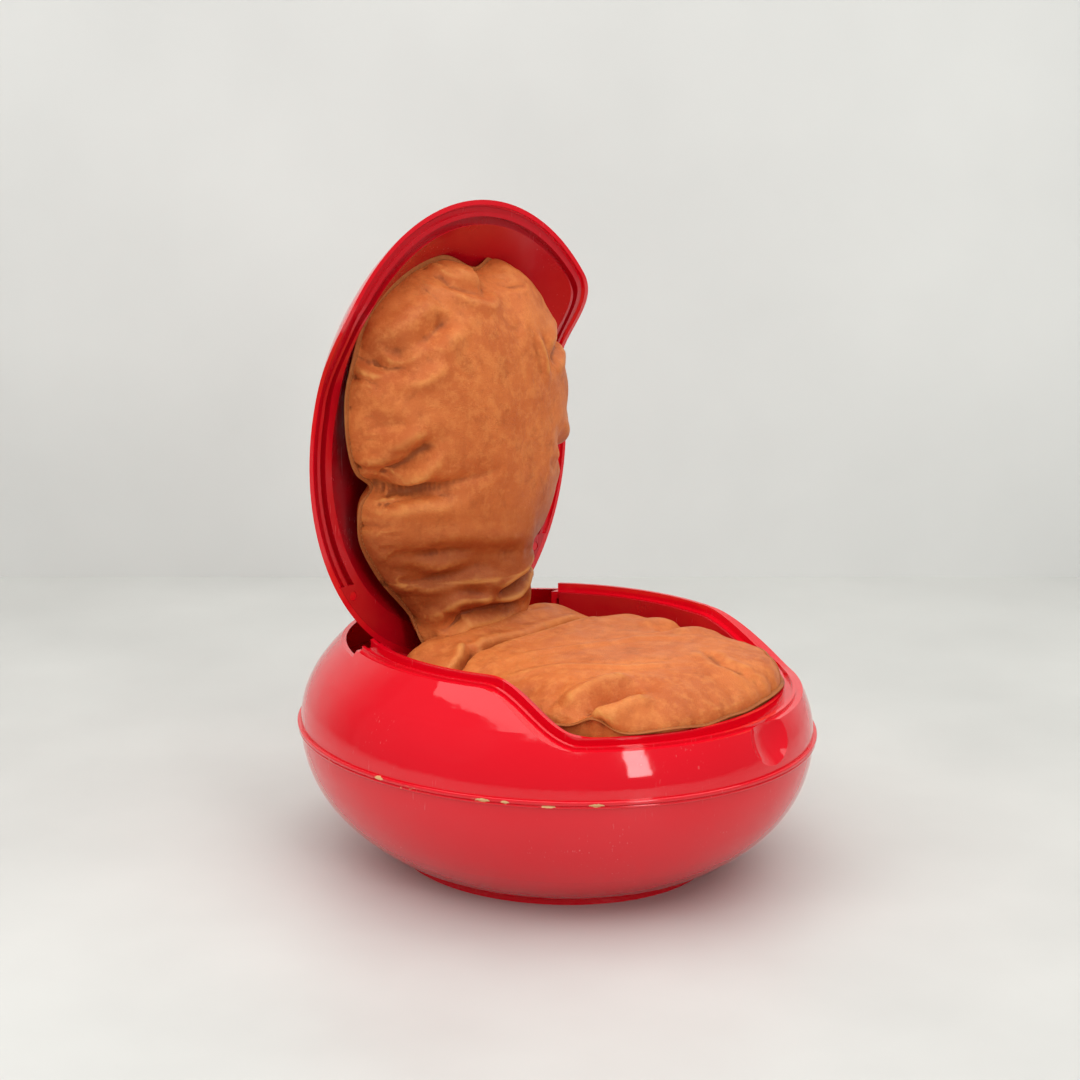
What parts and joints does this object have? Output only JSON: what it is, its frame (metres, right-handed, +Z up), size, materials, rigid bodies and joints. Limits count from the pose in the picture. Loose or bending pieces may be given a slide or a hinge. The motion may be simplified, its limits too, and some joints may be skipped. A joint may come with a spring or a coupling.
{
  "type": "egg chair",
  "caption": "Low egg-shaped lounge chair: a glossy oval shell whose hinged lid opens upright as the backrest, with loose leather seat and back cushions.",
  "frame": {"origin": "on the floor under the middle of the oval base", "axes": "+Z up, the sitter faces -Y, +X to the sitter's left"},
  "size_m": [0.7679, 0.8408, 1.0161],
  "materials": {
    "red_lacquer": "glossy lacquer on moulded plastic",
    "tan_leather": "matt nubuck-like leather",
    "foam": "soft foam",
    "panel_cloth": "woven cloth",
    "steel": "brushed",
    "black_rubber": "matt"
  },
  "bodies": {
    "base": {"lower_bowl": "red_lacquer", "foot_ring": "red_lacquer", "foot_ring_screws": "steel", "upper_shell": "red_lacquer", "seat_basin": "red_lacquer", "hinge_bracket_left": "steel", "hinge_bracket_right": "steel", "bracket_screws": "steel", "stop_buffer_left": "black_rubber", "stop_buffer_right": "black_rubber", "seat_cushion_cover": "tan_leather", "seat_cushion_foam": "foam", "seat_cushion_base_panel": "panel_cloth"},
    "lid": {"lid_outer_shell": "red_lacquer", "lid_liner": "red_lacquer", "hinge_leaf_left": "steel", "hinge_leaf_right": "steel", "leaf_screws": "steel", "hinge_pin_left": "steel", "hinge_pin_right": "steel", "rim_cap_left": "red_lacquer", "rim_cap_right": "red_lacquer", "back_cushion_cover": "tan_leather", "back_cushion_foam": "foam", "back_cushion_back_panel": "panel_cloth", "cushion_studs": "steel"}
  },
  "joints": [
    {"name": "lid_hinge", "type": "hinge", "parent": "base", "child": "lid", "pos_m": [0, 0.243, 0.376], "axis": [1, 0, 0], "range_deg": [0, 90.7], "deforming": ["seat_cushion_cover", "seat_cushion_foam", "back_cushion_cover", "back_cushion_foam"]}
  ]
}
